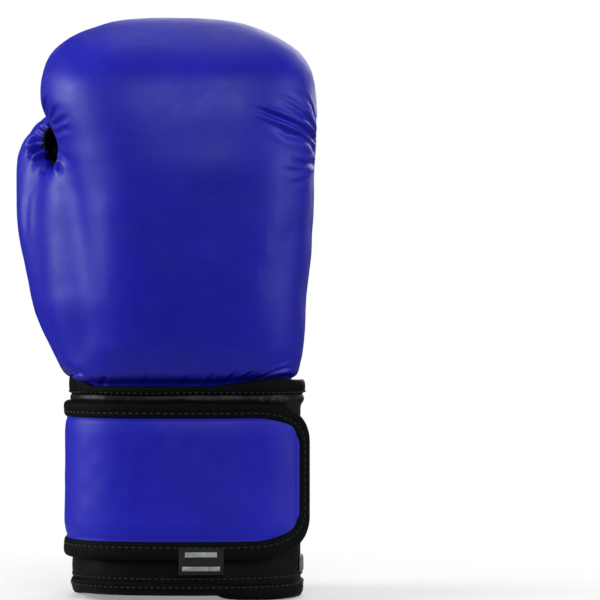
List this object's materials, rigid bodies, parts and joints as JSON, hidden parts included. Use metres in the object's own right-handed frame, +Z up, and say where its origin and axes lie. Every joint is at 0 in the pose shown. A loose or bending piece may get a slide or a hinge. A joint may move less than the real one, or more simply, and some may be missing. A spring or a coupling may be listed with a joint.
{
  "type": "boxing glove",
  "caption": "Padded right-hand boxing glove with a curled fist, tied-in thumb, slit palm, straight cuff and a wrap-round wrist strap that peels open.",
  "frame": {"origin": "middle of the glove's footprint, on the plane the cuff stands on", "axes": "+Z up from the cuff mouth to the knuckles, -Y the back of the hand, +Y the palm, -X the thumb side, +X the little-finger side"},
  "size_m": [0.1523, 0.1267, 0.2887],
  "materials": {
    "blue_leather": "semi-gloss grained synthetic leather",
    "black_leather": "semi-gloss grained synthetic leather",
    "binding": "woven edge binding",
    "foam": "closed-cell padding foam",
    "lining": "smooth woven lining",
    "hook_and_loop": "pile",
    "woven_label": "satin woven"
  },
  "bodies": {
    "glove": {"outer_cover": "blue_leather", "fist_padding": "foam", "thumb_padding": "foam", "palm_padding": "foam", "palm_panel": "black_leather", "finger_panel": "black_leather", "thumb_inner_panel": "black_leather", "hand_lining": "lining", "slit_binding": "binding", "palm_patch": "black_leather", "web_band": "blue_leather", "thumb_tie": "black_leather", "cuff_cover": "black_leather", "cuff_padding": "foam", "cuff_lining": "lining", "cuff_hem": "binding", "neck_welt": "binding", "slit_edge_thumb_side": "binding", "slit_edge_little_side": "binding", "slit_gusset": "lining", "loop_patch": "hook_and_loop", "size_label": "woven_label", "strap_anchor": "black_leather"},
    "strap_root": {"strap_root_face": "blue_leather", "strap_root_backing": "lining", "strap_root_rim_top": "binding", "strap_root_rim_bottom": "binding"},
    "strap_side": {"strap_side_face": "blue_leather", "strap_side_backing": "lining", "strap_side_rim_top": "binding", "strap_side_rim_bottom": "binding"},
    "strap_flap": {"strap_flap_face": "blue_leather", "strap_flap_backing": "lining", "strap_flap_rim": "binding", "hook_patch": "hook_and_loop", "label_tab": "woven_label"}
  },
  "joints": [
    {"name": "strap_peel", "type": "hinge", "parent": "strap_side", "child": "strap_flap", "pos_m": [-0.03684, -0.03168, 0.05875], "axis": [0, 0, -1], "range_deg": [0, 80]},
    {"name": "strap_unwrap_thumb_side", "type": "hinge", "parent": "strap_root", "child": "strap_side", "pos_m": [-0.03799, 0.03037, 0.05875], "axis": [0, 0, -1], "range_deg": [0, 70]},
    {"name": "strap_unwrap_palm_side", "type": "hinge", "parent": "glove", "child": "strap_root", "pos_m": [0.03025, 0.04231, 0.05875], "axis": [0, 0, -1], "range_deg": [0, 35.2]}
  ],
  "couplings": [
    {"joint": "strap_unwrap_thumb_side", "follows": "strap_peel", "ratio": 0.875},
    {"joint": "strap_unwrap_palm_side", "follows": "strap_peel", "ratio": 0.44}
  ]
}
